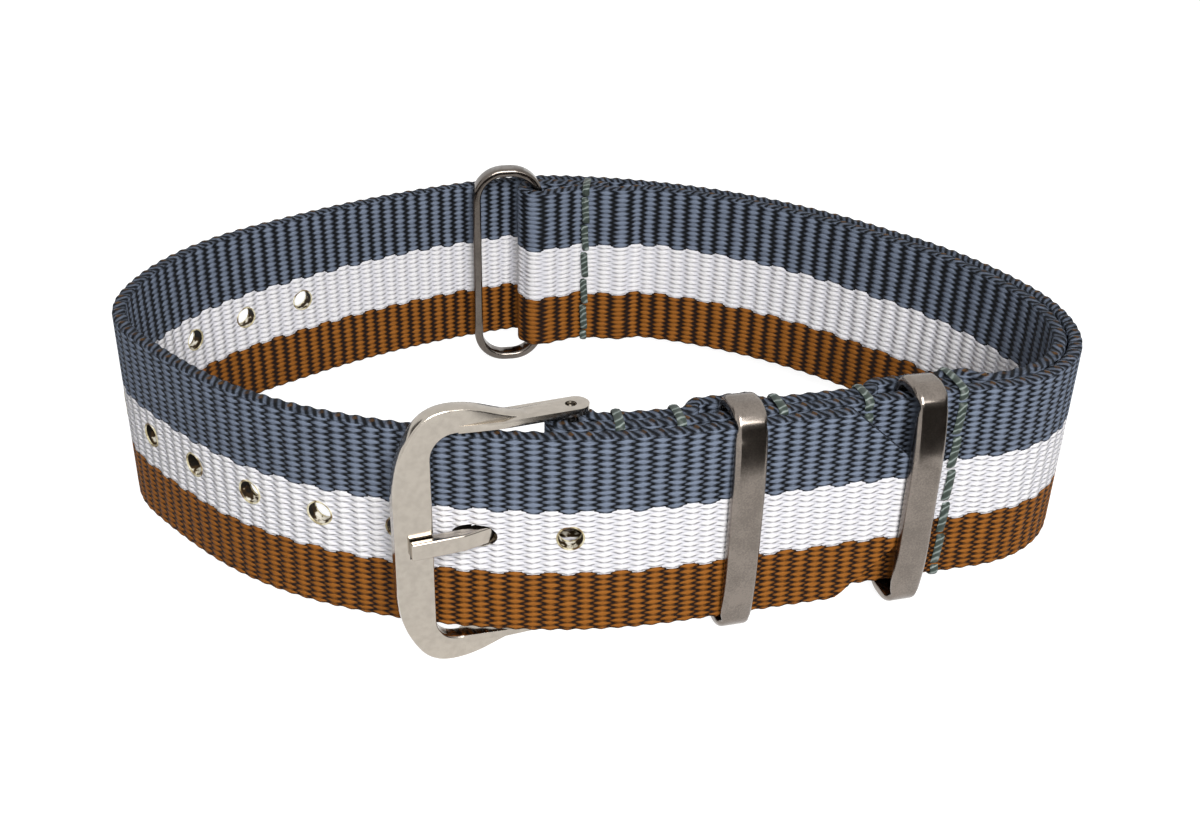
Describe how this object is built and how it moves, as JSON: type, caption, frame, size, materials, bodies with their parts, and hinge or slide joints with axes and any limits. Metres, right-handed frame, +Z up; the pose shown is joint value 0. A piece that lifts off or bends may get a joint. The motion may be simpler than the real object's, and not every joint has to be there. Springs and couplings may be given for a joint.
{
  "type": "pull-through watch strap",
  "caption": "Woven striped watch strap in two sewn bands, buckled into a loop, with a pin buckle on a spring bar, sliding keepers and a swinging ring keeper.",
  "frame": {"origin": "middle of the strap's box at the level its metal pieces stand on", "axes": "+Z up along the webbing's width and parallel to the spring bar, -Y towards the buckle, +X towards the side that the tail points to; the loop is longest along X"},
  "size_m": [0.0842, 0.0594, 0.0228],
  "materials": {
    "webbing": "woven nylon in three lengthwise stripes, grey-blue, white and brown",
    "sewing_thread": "waxed polyester thread",
    "polished_steel": "polished",
    "satin_steel": "fine satin",
    "spring_wire": "drawn wire"
  },
  "bodies": {
    "strap": {"main_band": "webbing", "short_band": "webbing", "buckle_fold_seam_needle_thread": "sewing_thread", "buckle_fold_seam_bobbin_thread": "sewing_thread", "first_pocket_inner_seam_needle_thread": "sewing_thread", "first_pocket_inner_seam_bobbin_thread": "sewing_thread", "first_pocket_outer_seam_needle_thread": "sewing_thread", "first_pocket_outer_seam_bobbin_thread": "sewing_thread", "second_pocket_seam_needle_thread": "sewing_thread", "second_pocket_seam_bobbin_thread": "sewing_thread", "band_joining_seam_needle_thread": "sewing_thread", "band_joining_seam_bobbin_thread": "sewing_thread", "ring_fold_seam_needle_thread": "sewing_thread", "ring_fold_seam_bobbin_thread": "sewing_thread"},
    "spring_bar": {"spring_bar_tube": "polished_steel", "spring_bar_spring": "spring_wire"},
    "upper_tip": {"spring_bar_tip_upper": "polished_steel"},
    "lower_tip": {"spring_bar_tip_lower": "polished_steel"},
    "buckle": {"buckle_frame": "polished_steel"},
    "tang": {"buckle_tang": "polished_steel"},
    "first_keeper": {"keeper_near_buckle": "satin_steel"},
    "second_keeper": {"keeper_at_tail": "satin_steel"},
    "ring": {"ring_keeper": "satin_steel"}
  },
  "joints": [
    {"name": "buckle_swing", "type": "hinge", "parent": "strap", "child": "buckle", "pos_m": [-0.00165, -0.02356, 0.0114], "axis": [0, 0, 1], "range_deg": [-1, 0.8]},
    {"name": "tang_lift", "type": "hinge", "parent": "buckle", "child": "tang", "pos_m": [-0.00165, -0.02356, 0.0114], "axis": [0, 0, 1], "range_deg": [0, 0.8]},
    {"name": "spring_bar_roll", "type": "hinge", "parent": "strap", "child": "spring_bar", "pos_m": [-0.00165, -0.02356, 0.0114], "axis": [0, 0, 1], "continuous": true},
    {"name": "upper_tip_press", "type": "slide", "parent": "spring_bar", "child": "upper_tip", "axis": [0, 0, -1], "range_m": [0, 0.0009], "stiffness_N_per_m": 200, "deforming": ["spring_bar_spring"]},
    {"name": "lower_tip_press", "type": "slide", "parent": "spring_bar", "child": "lower_tip", "axis": [0, 0, 1], "range_m": [0, 0.0009], "stiffness_N_per_m": 200},
    {"name": "first_keeper_slide", "type": "slide", "parent": "strap", "child": "first_keeper", "axis": [0.9613, 0.2756, 0], "range_m": [-0.0012, 0]},
    {"name": "second_keeper_slide", "type": "slide", "parent": "strap", "child": "second_keeper", "axis": [0.9613, 0.2756, 0], "range_m": [-0.0012, 0]},
    {"name": "ring_swing", "type": "hinge", "parent": "strap", "child": "ring", "pos_m": [-0.00672, 0.02592, 0.0114], "axis": [0, 0, 1], "range_deg": [0, 150]}
  ]
}
